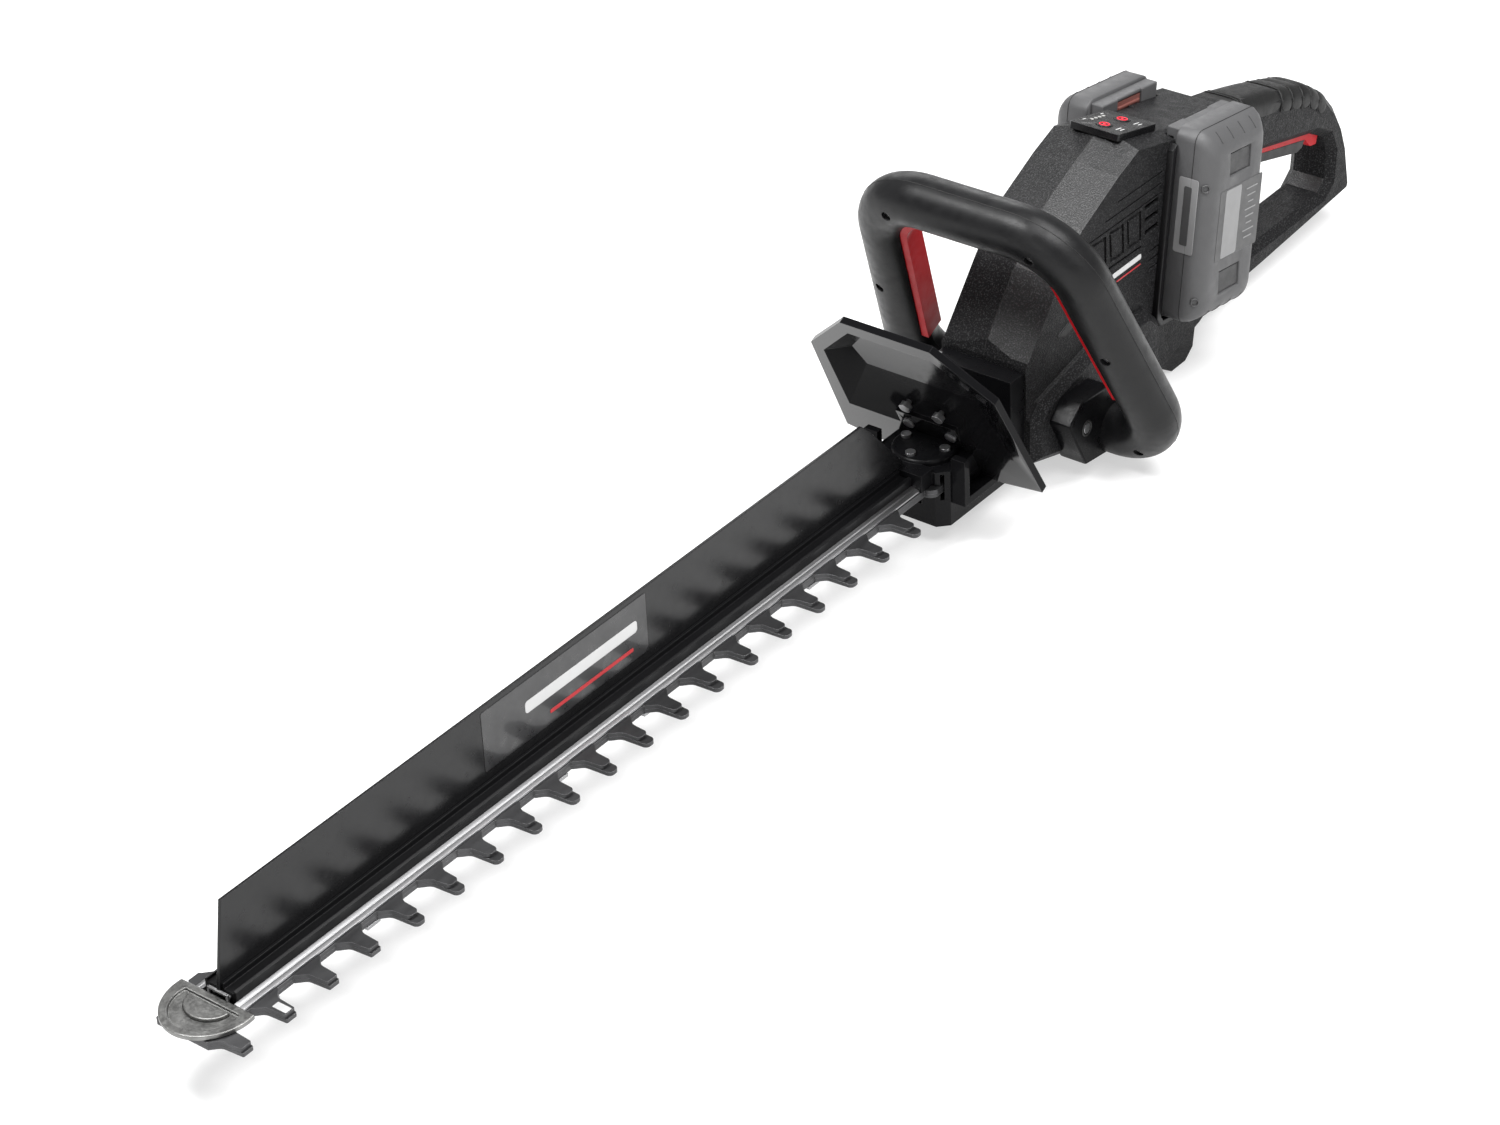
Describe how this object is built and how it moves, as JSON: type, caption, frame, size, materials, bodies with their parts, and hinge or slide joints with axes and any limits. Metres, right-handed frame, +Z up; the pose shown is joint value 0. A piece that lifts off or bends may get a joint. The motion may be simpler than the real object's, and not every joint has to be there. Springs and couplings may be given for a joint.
{
  "type": "hedge trimmer",
  "caption": "Cordless hedge trimmer: double-edged reciprocating blade with deflector fin and hand guard, loop front handle, motor housing, D rear handle and removable side battery packs.",
  "frame": {"origin": "under the middle of the whole tool, in the plane of the feet", "axes": "+X along the blade towards its tip, +Y to the user's left hand side, +Z up, away from the feet"},
  "size_m": [1.0322, 0.1962, 0.1875],
  "materials": {
    "housing_black": "fine-textured moulded plastic",
    "handle_black": "satin moulded plastic",
    "gloss_black": "polished moulded plastic",
    "grip_rubber": "soft over-moulded rubber",
    "red_plastic": "satin moulded plastic",
    "pack_grey": "satin moulded plastic",
    "case_black": "black coated casting",
    "blade_steel": "dark phosphated cutting steel",
    "rail_black": "black coated rail",
    "strip_aluminium": "drawn aluminium",
    "tip_metal": "tumbled casting",
    "screw_steel": "blackened screws",
    "machine_steel": "ground steel",
    "motor_copper": "laminations with enamelled wire",
    "fan_plastic": "moulded plastic",
    "board_green": "lacquered circuit board",
    "lamp_clear": "clear lens",
    "contact_brass": "plated contacts in a plastic block"
  },
  "bodies": {
    "housing": {"housing_left": "housing_black", "housing_right": "housing_black", "housing_screws": "screw_steel", "grip_pad": "grip_rubber", "trigger_pin": "machine_steel", "trigger_switch": "fan_plastic", "trigger_spring": "machine_steel", "loop_shell_front": "handle_black", "loop_shell_rear": "handle_black", "loop_screws": "screw_steel", "bar_switches": "fan_plastic", "bar_springs": "machine_steel", "foot_bracket_left": "gloss_black", "foot_bracket_right": "gloss_black", "bracket_screws": "screw_steel", "control_panel": "housing_black", "panel_lamps": "lamp_clear", "control_board": "board_green", "dock_terminal_left": "contact_brass", "dock_terminal_right": "contact_brass", "motor_can": "machine_steel", "motor_stator": "motor_copper", "motor_bearings": "machine_steel", "gear_case_upper": "case_black", "gear_case_lower": "case_black", "gear_case_screws": "screw_steel", "crank_bearings": "machine_steel", "hand_guard": "gloss_black", "guard_screws": "screw_steel", "blade_rail": "rail_black", "rail_cover": "rail_black", "deflector_fin": "gloss_black", "side_strips": "strip_aluminium", "blade_bolts": "screw_steel", "guide_washers": "screw_steel", "tip_guard": "tip_metal"},
    "crank": {"crank_shaft": "machine_steel", "crown_gear": "machine_steel"},
    "upper_blade": {"upper_blade": "blade_steel"},
    "lower_blade": {"lower_blade": "blade_steel"},
    "rotor": {"motor_shaft": "machine_steel", "motor_rotor": "motor_copper", "cooling_fan": "fan_plastic", "drive_pinion": "machine_steel"},
    "trigger": {"trigger": "red_plastic", "trigger_pad": "handle_black"},
    "switch_bar": {"switch_bar": "red_plastic"},
    "power_button": {"power_button": "red_plastic"},
    "mode_button": {"mode_button": "fan_plastic"},
    "pack_left": {"pack_left_case": "pack_grey", "pack_left_rail": "pack_grey"},
    "pack_right": {"pack_right_case": "pack_grey", "pack_right_rail": "pack_grey"},
    "pack_left_latch": {"pack_left_latch": "red_plastic"},
    "pack_right_latch": {"pack_right_latch": "red_plastic"}
  },
  "joints": [
    {"name": "crank_turn", "type": "hinge", "parent": "housing", "child": "crank", "pos_m": [-0.0776, 0, 0.036], "axis": [0, 0, 1], "range_deg": [-90.5, 90.5]},
    {"name": "upper_blade_slide", "type": "slide", "parent": "housing", "child": "upper_blade", "axis": [1, 0, 0], "range_m": [-0.007, 0.007]},
    {"name": "lower_blade_slide", "type": "slide", "parent": "housing", "child": "lower_blade", "axis": [1, 0, 0], "range_m": [-0.0071, 0.0071]},
    {"name": "motor_turn", "type": "hinge", "parent": "housing", "child": "rotor", "pos_m": [-0.1376, 0, 0.04838], "axis": [1, 0, 0], "range_deg": [-361, 361]},
    {"name": "trigger_pull", "type": "hinge", "parent": "housing", "child": "trigger", "pos_m": [-0.4136, 0, 0.0965], "axis": [0, 1, 0], "range_deg": [0, 6], "stiffness_Nm_per_rad": 2, "springref_deg": -2.86},
    {"name": "switch_bar_squeeze", "type": "slide", "parent": "housing", "child": "switch_bar", "axis": [0.4147, 0, 0.91], "range_m": [0, 0.003], "stiffness_N_per_m": 900, "springref_m": -0.002},
    {"name": "power_button_press", "type": "slide", "parent": "housing", "child": "power_button", "axis": [0.2419, 0, -0.9703], "range_m": [0, 0.0005], "stiffness_N_per_m": 800, "springref_m": -0.001},
    {"name": "mode_button_press", "type": "slide", "parent": "housing", "child": "mode_button", "axis": [0.2419, 0, -0.9703], "range_m": [0, 0.0005], "stiffness_N_per_m": 800, "springref_m": -0.001},
    {"name": "pack_left_slide", "type": "slide", "parent": "housing", "child": "pack_left", "axis": [-0.1392, 0, 0.9903], "range_m": [0, 0.125]},
    {"name": "pack_right_slide", "type": "slide", "parent": "housing", "child": "pack_right", "axis": [-0.1392, 0, 0.9903], "range_m": [0, 0.125]},
    {"name": "pack_left_latch_press", "type": "slide", "parent": "pack_left", "child": "pack_left_latch", "axis": [0, 1, 0], "range_m": [0, 0.0024], "stiffness_N_per_m": 800, "springref_m": -0.001},
    {"name": "pack_right_latch_press", "type": "slide", "parent": "pack_right", "child": "pack_right_latch", "axis": [0, -1, 0], "range_m": [0, 0.0024], "stiffness_N_per_m": 800, "springref_m": -0.001}
  ],
  "couplings": [
    {"joint": "lower_blade_slide", "follows": "upper_blade_slide", "ratio": -1},
    {"joint": "crank_turn", "follows": "upper_blade_slide", "rad_per_m": -224.4},
    {"joint": "motor_turn", "follows": "upper_blade_slide", "rad_per_m": 897.6}
  ]
}
